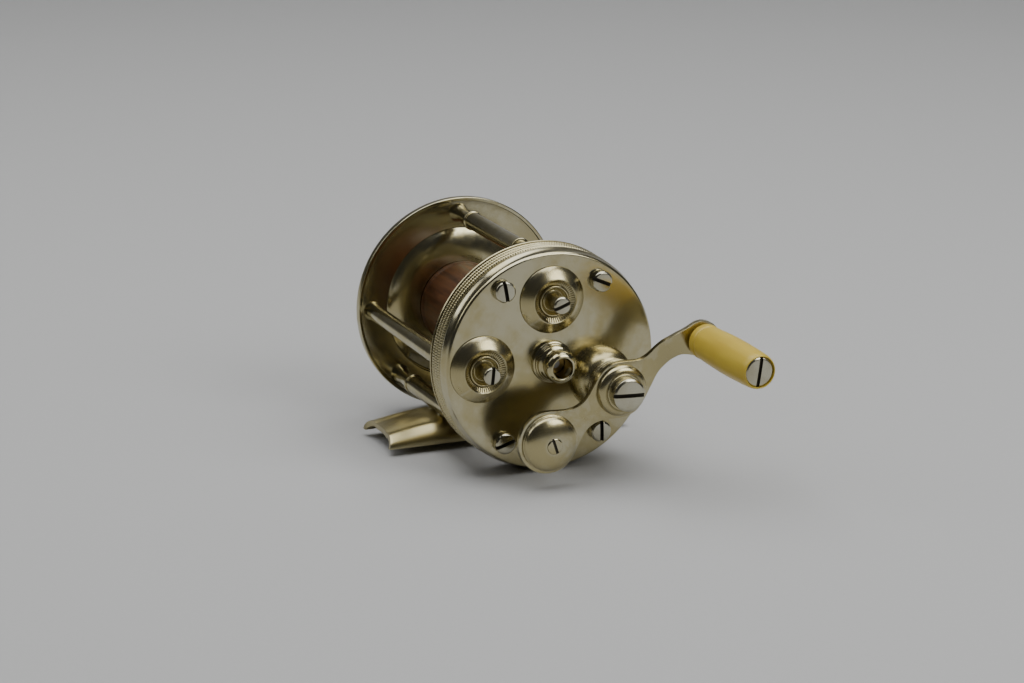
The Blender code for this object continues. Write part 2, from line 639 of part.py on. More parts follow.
def make_counterweight():
    y, z = weight_place()
    seat, wide, crown = ARM_FRONT + GAP, 0.243 * RIM, 3.3 * MM
    hole = 1.1 * MM
    dome = [(seat + 1.0 * MM + (crown - 1.0 * MM) * math.sin(math.radians(a)),
             wide * math.cos(math.radians(a))) for a in (0, 25, 50, 68)]
    flat = 1.85 * MM
    floor = seat + 2.6 * MM
    profile = ([(floor, flat), (dome[-1][0], flat)] + list(reversed(dome)) +
               [(seat, wide + 0.2 * MM), (seat, hole), (floor, hole)])
    turned("counterweight", profile, NICKEL, MEDIUM, y, z, closed=True)
    slotted_screw("counterweight_screw", floor + GAP, 1, 1.75 * MM, 0.75 * MM, 1.0 * MM,
                  floor - ARM_FRONT + ARM_THICK, y, z, math.radians(18))


KNOB_BASE = FACE + 0.585 * RIM
KNOB_TIP = FACE + 1.635 * RIM
KNOB_RADIUS, KNOB_SWELL = 3.95 * MM, 0.28 * MM
SPINDLE = 1.25 * MM


def make_knob():
    y, z = knob_place()
    front = ARM_FRONT + ARM_LIFT
    screw_hole = 0.85 * MM
    spindle_tip = KNOB_TIP - 1.4 * MM
    base = front + GAP
    turned("knob_spindle", [
        (spindle_tip, SPINDLE), (base + 0.9 * MM, SPINDLE), (base + 0.9 * MM, 2.9 * MM), (base, 2.9 * MM),
        (base, SPINDLE), (front - ARM_THICK, SPINDLE), (front - ARM_THICK, 0), (spindle_tip - 4 * MM, 0),
        (spindle_tip - 4 * MM, screw_hole), (spindle_tip, screw_hole)], STEEL, SMALL, y, z, closed=True)
    knob_low = max(KNOB_BASE, base + 0.9 * MM + GAP)
    recess, floor = 3.45 * MM, KNOB_TIP - 1.1 * MM
    body = [(KNOB_TIP, recess), (KNOB_TIP, 3.65 * MM), (KNOB_TIP - 0.5 * MM, KNOB_RADIUS)]
    run = KNOB_TIP - 0.5 * MM - (knob_low + 3.0 * MM)
    for i in range(1, 4):
        share = i / 4
        body.append((KNOB_TIP - 0.5 * MM - run * share, KNOB_RADIUS + KNOB_SWELL * math.sin(math.pi * share)))
    body += [(knob_low + 3.0 * MM, KNOB_RADIUS), (knob_low + 2.6 * MM, 3.7 * MM),
             (knob_low + 2.2 * MM, KNOB_RADIUS),
             (knob_low, 3.6 * MM), (knob_low, SPINDLE + RUN),
             (floor, SPINDLE + RUN), (floor, recess)]
    turned("knob", body, IVORY, MEDIUM, y, z, closed=True)
    slotted_screw("knob_screw", floor + GAP, 1, 3.3 * MM, 0.9 * MM, 0.8 * MM, 3.6 * MM, y, z,
                  math.radians(-8))


# ---- Click and drag: sliding buttons on the face and their works inside ----------
SLIDE_LOW, SLIDE_HIGH = FACE - COVER_SKIN - 0.8 * MM, FACE - COVER_SKIN - 0.2 * MM
BUTTON_SKIRT = 0.298 * RIM
BUTTON_POST = 4.7 * MM               # height of the post that carries the button's screw


def button_profile():
    """A domed skirt that rises to a milled ring, dished inside, round a middle post."""
    seat = FACE + GAP
    hole = 1.0 * MM
    shape = [(1.6, 1.9), (1.2, 2.6), (1.3, 3.6), (2.15, 4.3), (2.15, 4.85), (1.75, 5.1), (0.9, 6.7)]
    outline = [(seat + BUTTON_POST, 1.75 * MM)] + [(seat + x * MM, r * MM) for x, r in shape]
    return outline + [(seat + 0.12 * MM, BUTTON_SKIRT), (seat, BUTTON_SKIRT), (seat, hole),
                      (seat + BUTTON_POST, hole)]


def make_button(prefix, y, z, slot_turn):
    turned(prefix + "_button", button_profile(), NICKEL, MEDIUM, y, z, closed=True)
    seat = FACE + GAP + BUTTON_POST + GAP
    slotted_screw(prefix + "_button_screw", seat, 1, 1.9 * MM, 1.4 * MM, 0.9 * MM,
                  seat - SLIDE_LOW, y, z, slot_turn)


def slide_plate(name, low, high, screw_place, pin_place):
    """A thin plate behind the cover, with a pin that reaches down to the ratchet."""
    plate = box(name, low, high, STEEL)
    boolean(plate, rod_cutter(SLIDE_LOW - MM, SLIDE_HIGH + MM, 1.0 * MM, *screw_place))
    pin = hide_cutter(turned(name + "_pin", [(SLIDE_HIGH - 0.1 * MM, 0), (SLIDE_HIGH - 0.1 * MM, 0.75 * MM),
                                             (RATCHET_LOW, 0.75 * MM), (RATCHET_LOW, 0)],
                             None, SMALL, *pin_place, group=CUTTERS))
    return boolean(plate, pin, "UNION")


def make_click():
    y = -BUTTON_OUT
    pivot = y + 3.6 * MM
    make_button("click", y, 0, math.radians(-6))
    slide_plate("click_slide", (SLIDE_LOW, y - 1.8 * MM, AXIS_Z - 2.2 * MM),
                (SLIDE_HIGH, pivot + 1.5 * MM, AXIS_Z + 2.2 * MM), (y, 0), (pivot, 0))
    reach = -(RATCHET_TIP + 0.45 * MM) - BUTTON_TRAVEL
    pawl = [(pivot + 1.7 * MM * math.cos(a), 1.7 * MM * math.sin(a))
            for a in [math.radians(40 + 28 * i) for i in range(11)]]
    pawl += [(reach - 0.3 * MM, -0.35 * MM), (reach, 0), (reach - 0.3 * MM, 0.35 * MM)]
    shifted = [(a - pivot, b) for a, b in pawl]
    wheel("click_pawl", shifted, RATCHET_LOW, RATCHET_HIGH, 0.85 * MM, STEEL, pivot, 0)
    make_click_spring(pivot)


def make_click_spring(pivot):
    """A hairpin of flat wire whose two leaves centre the pawl's tail."""
    bend, leaf = 2.6 * MM, 5.2 * MM
    path = [(leaf, bend)] + [(0.0 - bend * math.sin(math.radians(a)), bend * math.cos(math.radians(a)))
                             for a in range(0, 181, 20)] + [(leaf, -bend)]
    strip("click_spring", [(pivot + a, b) for a, b in path], RATCHET_LOW, RATCHET_HIGH, 0.3 * MM)


def strip(name, path, low, high, thickness):
    """A strip of spring stock on edge: its path is in (y, z), its width runs along X."""
    verts = []
    for y, z in path:
        verts += [(low, y, AXIS_Z + z), (high, y, AXIS_Z + z)]
    faces = [(2 * i, 2 * i + 1, 2 * i + 3, 2 * i + 2) for i in range(len(path) - 1)]
    made = add_mesh(name, verts, [], faces, STEEL)
    thick = made.modifiers.new("thickness", "SOLIDIFY")
    thick.thickness = thickness
    thick.offset = 0
    return made


def make_drag():
    z = BUTTON_IN
    pin = z - 3.6 * MM
    make_button("drag", 0, z, math.radians(-70))
    slide_plate("drag_slide", (SLIDE_LOW, -2.2 * MM, AXIS_Z + pin - 1.5 * MM),
                (SLIDE_HIGH, 2.2 * MM, AXIS_Z + z + 1.8 * MM), (0, z), (0, pin))
    shoe_top = RATCHET_TIP + 1.5 * MM
    wave = [(1.3 * MM * math.sin(math.pi * i / 8), shoe_top + GAP * 2 + (pin - 1.0 * MM - shoe_top) * i / 8)
            for i in range(9)]
    strip("drag_spring", wave, RATCHET_LOW, RATCHET_HIGH, 0.3 * MM)
    box("drag_shoe", (RATCHET_LOW, -1.3 * MM, AXIS_Z + RATCHET_TIP + 0.35 * MM),
        (RATCHET_HIGH, 1.3 * MM, AXIS_Z + shoe_top), BRASS, bevel=0.15 * MM)


def centre_on_footprint():
    """Hang every piece and cutter from one empty, at minus the footprint's middle."""
    tail_cap_tip = -INNER - TAIL_THICK - GAP - CAP_LENGTH
    knob_edge = knob_place()[0] + KNOB_RADIUS + KNOB_SWELL
    frame = bpy.data.objects.new("reel_frame", None)
    bpy.context.scene.collection.objects.link(frame)
    frame.location = (-(tail_cap_tip + KNOB_TIP) / 2, (FOOT_HALF_LENGTH - knob_edge) / 2, 0)
    for group in (REEL, CUTTERS):
        for item in group.objects:
            item.parent = frame


def smooth_round_pieces():
    for item in REEL.objects:
        item.data.shade_smooth()
        item.data.set_sharp_from_angle(angle=math.radians(35))


make_head()
make_bearings()
make_tail()
make_pillars()
make_foot()
make_spool()
make_crank()
make_click()
make_drag()

centre_on_footprint()
smooth_round_pieces()
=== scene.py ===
# %% [markdown]
# # A bait-casting reel, finished piece by piece
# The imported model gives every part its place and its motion. This lesson makes the surfaces: turned
# metal with crisp little fillets, milled rings, slotted screws, an ivory-coloured knob and a warm tarnish.
# We start by loading the frame, because every size below is measured from it.

# %% Load the frame
import json
import math

import bmesh
import bpy
from mathutils import Matrix, Vector


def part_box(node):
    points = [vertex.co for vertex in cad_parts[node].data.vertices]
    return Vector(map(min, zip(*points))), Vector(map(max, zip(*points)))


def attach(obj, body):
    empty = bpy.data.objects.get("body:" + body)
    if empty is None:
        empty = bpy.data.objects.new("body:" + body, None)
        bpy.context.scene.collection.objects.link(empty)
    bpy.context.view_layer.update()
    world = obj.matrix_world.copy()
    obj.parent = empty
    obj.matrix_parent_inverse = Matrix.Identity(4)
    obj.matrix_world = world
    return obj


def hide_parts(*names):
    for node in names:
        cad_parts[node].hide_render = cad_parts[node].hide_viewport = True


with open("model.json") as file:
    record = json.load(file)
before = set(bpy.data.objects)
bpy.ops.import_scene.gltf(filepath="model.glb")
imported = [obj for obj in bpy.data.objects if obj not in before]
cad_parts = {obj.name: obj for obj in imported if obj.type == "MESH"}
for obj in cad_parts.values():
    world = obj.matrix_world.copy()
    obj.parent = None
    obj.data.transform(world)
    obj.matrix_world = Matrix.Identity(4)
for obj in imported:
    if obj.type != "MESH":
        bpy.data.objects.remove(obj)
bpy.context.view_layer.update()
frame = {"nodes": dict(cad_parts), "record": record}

MM = 0.001

# %% [markdown]
# A reel is almost all turning work, so three lines matter more than any others: the spool's axis, the
# crank's axis and the knob's axis. A node's box gives each of them, since a round part's axis passes
# through the middle of its box.

# %% Axes and faces of the real parts
def middle(node):
    low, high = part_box(node)
    return Vector(low).lerp(Vector(high), 0.5)


def low_x(node):
    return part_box(node)[0][0]


def high_x(node):
    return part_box(node)[1][0]


SPOOL_AXIS = middle("tail_rim")
CRANK_AXIS = middle("crank_washer")
KNOB_AXIS = middle("knob")
WEIGHT_AXIS = middle("counterweight")
RIM = (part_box("tail_rim")[1][2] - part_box("tail_rim")[0][2]) / 2
FACE = high_x("head_cover")
HEAD_INNER = low_x("head_plate")
TAIL_INNER = high_x("tail_plate")
MIDDLE = (HEAD_INNER + TAIL_INNER) / 2
print("plate radius %.2f mm, plates %.2f mm apart" % (RIM / MM, (HEAD_INNER - TAIL_INNER) / MM))

# %% [markdown]
# ## The camera
# The camera sits in front of the crank plate, a little above it and to its left, with a long lens, so
# the plates keep their roundness. It looks past the front plate's middle.

# %% Camera
VIEW_AZIMUTH, VIEW_ELEVATION = math.radians(-23.01), math.radians(16.01)
VIEW_DISTANCE = 24.76 * RIM
AIM_LEFT, AIM_UP, AIM_FORWARD = 0.2924 * RIM, 0.1385 * RIM, -0.1278 * RIM
LENS = 99.76


def aim_axes():
    towards = Vector((math.cos(VIEW_ELEVATION) * math.cos(VIEW_AZIMUTH),
                      math.cos(VIEW_ELEVATION) * math.sin(VIEW_AZIMUTH), math.sin(VIEW_ELEVATION)))
    right = Vector((0, 0, 1)).cross(towards).normalized()
    return towards, right, towards.cross(right)


def make_camera():
    towards, right, up = aim_axes()
    aim = Vector((FACE + AIM_FORWARD, SPOOL_AXIS.y, SPOOL_AXIS.z)) - right * AIM_LEFT + up * AIM_UP
    camera = bpy.data.objects.new("camera", bpy.data.cameras.new("camera"))
    camera.data.lens = LENS
    camera.data.clip_end = 20
    camera.location = aim + towards * VIEW_DISTANCE
    camera.rotation_euler = towards.to_track_quat("Z", "Y").to_euler()
    bpy.context.scene.collection.objects.link(camera)
    bpy.context.scene.camera = camera


make_camera()
print("camera stands %.0f mm from the reel" % (VIEW_DISTANCE / MM))

# %% [markdown]
# ## Shader maths that reads like maths
# A node tree is hard to read as code. A small class can wrap one output socket and turn +, -, * and /
# into Math nodes, so a mask is written as an ordinary expression. One method makes every other node.

# %% Sockets with operators
class Wire:
    """One output socket of a material, with arithmetic that adds Math nodes."""

    def __init__(self, finish, socket):
        self.finish, self.socket = finish, socket

    def maths(self, operation, *others, clamp=False):
        settings = {"operation": operation, "use_clamp": clamp}
        return self.finish.node("ShaderNodeMath", settings, [self, *others])

    def __add__(self, other):
        return self.maths("ADD", other)

    def __sub__(self, other):
        return self.maths("SUBTRACT", other)

    def __rsub__(self, other):
        return self.finish.node("ShaderNodeMath", {"operation": "SUBTRACT"}, [other, self])

    def __rtruediv__(self, other):
        return self.finish.node("ShaderNodeMath", {"operation": "DIVIDE"}, [other, self])

    def __mul__(self, other):
        return self.maths("MULTIPLY", other)

    def __truediv__(self, other):
        return self.maths("DIVIDE", other)

    __radd__, __rmul__ = __add__, __mul__

    def clamped(self):
        return self.maths("ADD", 0.0, clamp=True)

    def step(self, low, high):
        """0 below low, 1 above high, smooth between."""
        settings = {"interpolation_type": "SMOOTHSTEP"}
        return self.finish.node("ShaderNodeMapRange", settings, [self, low, high, 0.0, 1.0])


class Finish:
    """A material whose Principled shader is fed by expressions on Wire values."""

    def __init__(self, name):
        self.material = bpy.data.materials.new(name)
        self.material.use_nodes = True
        self.tree = self.material.node_tree
        self.shader = self.tree.nodes["Principled BSDF"]

    def feed(self, socket, value):
        if isinstance(value, Wire):
            self.tree.links.new(value.socket, socket)
        elif socket.type == "RGBA" and len(value) == 3:
            socket.default_value = (*value, 1.0)
        else:
            socket.default_value = value

    def node(self, kind, settings=None, inputs=None, output=0):
        """Make one node: its settings first, then its sockets, by place or by name."""
        made = self.tree.nodes.new(kind)
        for key, value in (settings or {}).items():
            setattr(made, key, value)
        pairs = inputs.items() if isinstance(inputs, dict) else enumerate(inputs or [])
        for key, value in pairs:
            self.feed(made.inputs[key], value)
        return Wire(self, made.outputs[output])

    def place(self, scale=(1, 1, 1), shift=(0, 0, 0)):
        """Position on the piece in its own space, in metres, scaled for a texture."""
        where = self.node("ShaderNodeTexCoord", output="Object")
        return self.node("ShaderNodeMapping", {}, {"Vector": where, "Scale": scale, "Location": shift})

    def noise(self, scale, detail=3.0, where=None, roughness=0.55, distortion=0.0):
        inputs = {"Scale": scale, "Detail": detail, "Roughness": roughness, "Distortion": distortion}
        inputs["Vector"] = where or self.place()
        return self.node("ShaderNodeTexNoise", {}, inputs)

    def mix(self, share, first, second):
        """A colour between first and second; 6, 7 and 2 are the Mix node's colour sockets."""
        settings = {"data_type": "RGBA"}
        return self.node("ShaderNodeMix", settings, {"Factor": share, 6: first, 7: second}, output=2)

    def bump(self, height, strength, distance, under=None):
        inputs = {"Height": height, "Strength": strength, "Distance": distance}
        if under:
            inputs["Normal"] = under
        return self.node("ShaderNodeBump", {}, inputs)

    def set(self, **values):
        for name, value in values.items():
            self.feed(self.shader.inputs[name.replace("_", " ")], value)


print("sockets take + - * / on either side, and one method makes every other node")

# %% [markdown]
# ## German silver
# Nickel silver goes yellow and then brown as it ages, in soft clouds, and it keeps bright only where
# fingers rub it. So the colour is a clean metal, mixed with a warm film by broad noise, with a thin grey
# film over it here and there. Fine noise stretched round the axis gives the marks of the lathe and the
# polishing rag. Roughness follows the film, because a tarnished patch is duller than a rubbed one.

# %% German silver finish
CLEAN = (0.52, 0.485, 0.335)
WARM = (0.43, 0.37, 0.185)
DEEP = (0.15, 0.12, 0.045)
BLUISH = (0.45, 0.44, 0.40)


def rubbed_edges(finish, softness=0.06):
    """1 on outer edges, where handling keeps metal bright."""
    pointed = finish.node("ShaderNodeNewGeometry", output="Pointiness")
    return pointed.step(0.5, 0.5 + softness)


def corners(finish, softness=0.06):
    """1 in inner corners."""
    pointed = finish.node("ShaderNodeNewGeometry", output="Pointiness")
    return 1 - pointed.step(0.5 - softness, 0.5)


def german_silver(name, film=0.45, gloss=0.2, cloud=70, marks=0.18, deep=0.06, marks_scale=(1, 1, 1)):
    finish = Finish(name)
    clouds = finish.noise(cloud, 4, roughness=0.6, distortion=0.4)
    speckle = finish.noise(cloud * 9, 4, roughness=0.7)
    broad = (clouds + (speckle - 0.5) * 0.35).step(0.62 - film * 0.5, 0.80 - film * 0.35)
    patches = finish.noise(cloud * 0.6, 3, finish.place(shift=(0.3, 0.1, 0.2)), distortion=0.8)
    thin = patches.step(0.55, 0.75)
    colour = finish.mix(broad * 0.85, CLEAN, WARM)
    colour = finish.mix(thin * 0.35, colour, BLUISH)
    spots = finish.noise(cloud * 5, 5, finish.place(shift=(0.7, 0.4, 0.9)), roughness=0.7)
    colour = finish.mix(spots.step(0.62, 0.78) * deep, colour, DEEP)
    colour = finish.mix(corners(finish) * 0.55, colour, DEEP)
    colour = finish.mix(rubbed_edges(finish) * 0.5, colour, CLEAN)
    scratch_place = finish.place(scale=marks_scale)
    scratches = finish.noise(2600, 2, scratch_place, roughness=0.8)
    dullness = broad * 0.06 + speckle * 0.06 + scratches * 0.04 + (gloss - 0.08)
    grain = finish.bump(scratches, marks, 0.00002)
    waves = finish.bump(finish.noise(cloud * 2.2, 2), 0.04, 0.0002, under=grain)
    finish.set(Base_Color=colour, Metallic=1.0, Roughness=dullness.clamped(), Normal=waves)
    return finish.material


ALONG_X = (0.06, 1, 1)
ROUND_X = (1, 0.1, 0.1)
plate_silver = german_silver("plate_silver", film=0.50, gloss=0.19, cloud=42)
turned_silver = german_silver("turned_silver", film=0.65, gloss=0.23, cloud=90, marks_scale=ROUND_X)
dark_silver = german_silver("dark_silver", film=0.92, gloss=0.24, cloud=60, deep=0.45)
bright_silver = german_silver("bright_silver", film=0.50, gloss=0.16, cloud=120)
foot_silver = german_silver("foot_silver", film=0.95, gloss=0.29, cloud=50, deep=0.40,
                            marks_scale=(1, 0.1, 1))
pillar_silver = german_silver("pillar_silver", film=0.60, gloss=0.18, cloud=80, marks_scale=ALONG_X)
flange_silver = german_silver("flange_silver", film=0.6, gloss=0.17, cloud=60, marks_scale=(1, 0.2, 0.2))
silvers = (plate_silver, turned_silver, dark_silver, bright_silver, foot_silver, pillar_silver,
           flange_silver)
print("german silver finishes:", [material.name for material in silvers])

# %% [markdown]
# ## Screw metal, slot shade and dirt, ivory and wood
# Screw heads are whiter and brighter than the plates, and a slot's walls are painted nearly black, for the
# shade deep in the slot and for its dirt. The knob is
# an early plastic made to pass for ivory: yellow, faintly streaked along its length, with a soft gloss and
# browner in its groove. The arbor is dark wood with fine rays across its grain.

# %% Small finishes
def screw_metal():
    finish = Finish("screw_metal")
    wear = finish.noise(700, 4, roughness=0.7)
    film = finish.noise(160, 3)
    colour = finish.mix(film.step(0.40, 0.75) * 0.7, (0.52, 0.50, 0.39), (0.38, 0.34, 0.22))
    colour = finish.mix(corners(finish) * 0.6, colour, DEEP)
    marks = finish.noise(3000, 2, finish.place(scale=(1, 1, 0.05)))
    finish.set(Base_Color=colour, Metallic=1.0, Roughness=(wear * 0.15 + 0.14).clamped(),
               Normal=finish.bump(marks, 0.3, 0.00002))
    return finish.material


def slot_shade_and_grime():
    finish = Finish("slot_shade_and_grime")
    crumbs = finish.noise(1500, 3)
    # Near-black walls: painted shade deep in the slot, together with the dirt packed in it.
    colour = finish.mix(crumbs, (0.010, 0.008, 0.004), (0.05, 0.042, 0.022))
    finish.set(Base_Color=colour, Metallic=0.4, Roughness=crumbs * 0.3 + 0.45,
               Normal=finish.bump(crumbs, 0.4, 0.00005))
    return finish.material


def ivory():
    finish = Finish("ivory")
    streaks = finish.noise(260, 4, finish.place(scale=(0.10, 1, 1)), roughness=0.6)
    blotch = finish.noise(110, 3)
    colour = finish.mix(streaks.step(0.35, 0.7), (0.54, 0.385, 0.040), (0.62, 0.46, 0.062))
    colour = finish.mix(blotch.step(0.50, 0.75) * 0.4, colour, (0.52, 0.35, 0.038))
    colour = finish.mix(corners(finish, 0.05) * 0.7, colour, (0.30, 0.16, 0.02))
    fine = finish.noise(2200, 2, finish.place(scale=(0.3, 1, 1)))
    finish.set(Base_Color=colour, Roughness=(streaks * 0.12 + 0.30).clamped(),
               Normal=finish.bump(fine, 0.15, 0.00003))
    finish.set(Subsurface_Weight=0.08, Subsurface_Radius=(0.003, 0.0018, 0.0005), Subsurface_Scale=1.0,
               Coat_Weight=0.05, Coat_Roughness=0.25)
    return finish.material


def arbor_wood():
    finish = Finish("arbor_wood")
    rays = finish.noise(900, 4, finish.place(scale=(0.08, 1, 1)), roughness=0.7)
    rings = finish.noise(150, 3, finish.place(scale=(0.6, 1, 1)))
    colour = finish.mix(rays.step(0.3, 0.7), (0.034, 0.012, 0.003), (0.12, 0.044, 0.011))
    colour = finish.mix(rings.step(0.45, 0.7) * 0.5, colour, (0.08, 0.027, 0.007))
    finish.set(Base_Color=colour, Roughness=rays * 0.25 + 0.35,
               Normal=finish.bump(rays, 0.5, 0.0001))
    return finish.material


def plain_metal(name, light, dark, gloss):
    finish = Finish(name)
    wear = finish.noise(400, 4)
    finish.set(Base_Color=finish.mix(wear, light, dark), Metallic=1.0, Roughness=wear * 0.2 + gloss,
               Normal=finish.bump(finish.noise(2500, 2), 0.2, 0.00002))
    return finish.material


screw_finish, slot_shade_and_grime_finish, ivory_finish, wood_finish = screw_metal(), slot_shade_and_grime(), ivory(), arbor_wood()
brass_finish = plain_metal("brass", (0.46, 0.33, 0.13), (0.28, 0.19, 0.07), 0.28)
steel_finish = plain_metal("steel", (0.58, 0.57, 0.54), (0.38, 0.36, 0.33), 0.22)
print("materials so far, with those that came with the frame:", len(bpy.data.materials))

# %% [markdown]
# ## Turning on a lathe
# Most pieces here are a profile spun round an axis, as on a lathe. A real turned edge is never quite
# sharp, and the tiny fillet is what catches the light, so the profile's corners are rounded before it is
# spun. A ripple function can push points in and out as the profile goes round, which makes milled edges.

# %% Profiles and the lathe
def filleted(profile, radius, parts=4):
    """Round each inner corner of an (x, r) profile in mm; a corner may state its own radius."""
    done = [Vector(profile[0][:2])]
    for i in range(1, len(profile) - 1):
        here = Vector(profile[i][:2])
        before, after = Vector(profile[i - 1][:2]), Vector(profile[i + 1][:2])
        size = profile[i][2] if len(profile[i]) > 2 else radius
        reach = min(size, (before - here).length * 0.45, (after - here).length * 0.45)
        a, b = here + (before - here).normalized() * reach, here + (after - here).normalized() * reach
        for k in range(parts + 1):
            t = k / parts
            done.append(a * (1 - t) ** 2 + here * (2 * t * (1 - t)) + b * t * t)
    done.append(Vector(profile[-1][:2]))
    return [(p.x, p.y) for p in done]


def arc(centre_x, centre_r, radius_x, radius_r, start, end, parts=10):
    """Points on an ellipse in a profile, from one angle to another in degrees."""
    angles = [math.radians(start + (end - start) * k / parts) for k in range(parts + 1)]
    return [(centre_x + radius_x * math.cos(a), centre_r + radius_r * math.sin(a)) for a in angles]


print("a filleted corner has", len(filleted([(0, 1), (1, 1), (1, 0)], 0.1)) - 2, "points")

# %% [markdown]
# The lathe itself puts a ring of points at each place on the profile and joins neighbouring rings with
# faces. It works in millimetres from a seat, because turned parts are measured from the face they sit on.

# %% The lathe
SHAFT_HOLE = 2.6    # mm, radius of the hole through a turned part that a shaft passes


def lathe(name, profile, axis, seat, steps=96, ripple=None, side=1, closed=False):
    """Spin (x, r) points in mm about the X line through axis; x is counted from seat."""
    mesh = bpy.data.meshes.new(name)
    work = bmesh.new()
    rings = []
    for x, r in profile:
        if r < 1e-6:
            rings.append([work.verts.new((side * x * MM, 0, 0))])
            continue
        ring = []
        for k in range(steps):
            a = math.tau * k / steps
            size = (r + (ripple(x, r, a) if ripple else 0.0)) * MM
            ring.append(work.verts.new((side * x * MM, size * math.cos(a), size * math.sin(a))))
        rings.append(ring)
    pairs = list(zip(rings, rings[1:]))
    if closed:
        pairs.append((rings[-1], rings[0]))
    for first, second in pairs:
        for k in range(steps):
            n = (k + 1) % steps
            corners_of = [first[k % len(first)], first[n % len(first)],
                          second[n % len(second)], second[k % len(second)]]
            ring_face = list(dict.fromkeys(corners_of))
            if len(ring_face) > 2:
                work.faces.new(ring_face)
    bmesh.ops.recalc_face_normals(work, faces=work.faces)
    work.to_mesh(mesh)
    work.free()
    made = bpy.data.objects.new(name, mesh)
    bpy.context.scene.collection.objects.link(made)
    made.location = (seat, axis.y, axis.z)
    return made


print("shaft holes are %.1f mm across" % (2 * SHAFT_HOLE))

# %% [markdown]
# Every piece then gets the same treatment: its finish, smooth shading that breaks at real edges, the body
# it rides on, and the hiding of the CAD node it stands in for. One function does that, so no piece is left
# out.

# %% Dressing a piece
def dress(piece, finish, body, *nodes, slot=None, sharp=40):
    """Give a piece its finish, let it ride, and hide the nodes it stands for."""
    if not piece.data.materials:
        piece.data.materials.append(finish)
    for polygon in piece.data.polygons:
        polygon.use_smooth = True
    if sharp:
        piece.data.set_sharp_from_angle(angle=math.radians(sharp))
    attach(piece, body)
    if nodes:
        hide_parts(*nodes)
    return piece


def tell(*pieces):
    for piece in pieces:
        print("%s: %d faces" % (piece.name, len(piece.data.polygons)))


# %% [markdown]
# A screw slot is sawn, so it is made with a saw here too: a box is taken away by an exact Boolean, and the
# box's own near-black finish, painted shade together with dirt, stays on the walls it leaves.

# %% Sawing a slot
def apply_modifiers(piece):
    """Turn what the modifiers show into the piece's own mesh."""
    bpy.context.view_layer.update()
    ready = piece.evaluated_get(bpy.context.evaluated_depsgraph_get())
    mesh = bpy.data.meshes.new_from_object(ready)
    old = piece.data
    piece.modifiers.clear()
    piece.data = mesh
    bpy.data.meshes.remove(old)
    return piece


def cut(piece, finish, size, centre, turn=0.0):
    """Saw a straight slot: a box taken away, with near-black painted shade and dirt on its walls."""
    bpy.ops.mesh.primitive_cube_add(size=1, location=centre, rotation=(turn, 0, 0))
    saw = bpy.context.object
    saw.scale = size
    saw.data.materials.append(slot_shade_and_grime_finish)
    if not piece.data.materials:
        piece.data.materials.append(finish)
    step = piece.modifiers.new("slot", "BOOLEAN")
    step.object = saw
    step.solver = "EXACT"
    step.material_mode = "TRANSFER"
    apply_modifiers(piece)
    bpy.data.objects.remove(saw, do_unlink=True)


print("slots are cut with the finish", slot_shade_and_grime_finish.name)

# %% [markdown]
# ## Slotted screws
# Nine slotted screws show in the photo and five more sit on the tail plate, all of one pattern at several
# sizes: a short cylinder, a low dome and a sawn slot. Each slot stops at its own angle, as a hand-fitted
# screw does, so one function takes the size and the turn.

# %% Screw maker
def screw_head(name, node, head, wall, crown, turn, body, side=1, slot_wide=0.24, slot_deep=0.55,
               finish=screw_finish):
    """A slotted head in mm that stands on its CAD node's seat."""
    axis = middle(node)
    top = high_x(node) if side > 0 else low_x(node)
    seat = top - side * (wall + crown) * MM
    edge = 0.13 * head
    dome = [(wall + crown * (1 - 0.25 * (k / 6) ** 2), (head - edge) * k / 6) for k in range(1, 7)]
    dome.append((wall, head))
    shank = head * 0.45
    profile = filleted([(wall + crown, 0)] + dome + [(0, head), (0, shank), (-0.6, shank), (-0.6, 0)],
                       0.12, 3)
    made = lathe(name, profile, axis, seat, 64, side=side)
    saw_at = seat + side * (wall + crown) * MM
    cut(made, finish, (slot_deep * 2 * (wall + crown) * MM, head * 3 * MM, head * slot_wide * MM),
        (saw_at, axis.y, axis.z), math.radians(turn))
    return dress(made, finish, body, node, slot="screw_steel", sharp=35)


COVER_SCREWS = {"upper_right": -24, "upper_left": -80, "lower_left": 17, "lower_right": 91}
for corner, turn in COVER_SCREWS.items():
    tell(screw_head("cover_screw_%s_fine" % corner, "cover_screw_" + corner, 2.38, 1.45, 0.42, turn,
                    "frame", slot_wide=0.36))

# %% [markdown]
# ## The head: cover and milled band
# The cover is a shallow cup with a bright turned edge, and the band behind it carries three beads, all
# milled by a knurling wheel, so their radius ripples as they go round. Deep grooves part the beads, because
# those dark lines are what the eye reads first. The real cover has bores for two shafts, slots under the
# buttons and screw holes. The cap, the boss and the buttons hide them, and here the face is made whole, so
# the two shafts pass straight through it.

# %% Head cover and band
def make_cover():
    depth = (FACE - low_x("head_cover")) / MM
    back = 4.25
    rim = RIM / MM
    profile = filleted([(0, 0), (0, 23.0), (0.0, 0.958 * rim, 0.25), (-0.45, 0.972 * rim, 0.3),
                        (-1.6, 0.976 * rim, 0.8), (-2.9, 0.993 * rim, 0.5), (-3.45, 0.988 * rim, 0.12),
                        (-3.6, 0.95 * rim, 0.1), (-back, 0.95 * rim), (-back, 23.9), (-depth, 23.9)], 0.2, 5)
    return dress(lathe("head_cover_fine", profile, SPOOL_AXIS, FACE, 256), plate_silver, "frame",
                 "head_cover", slot="nickel_silver", sharp=30)


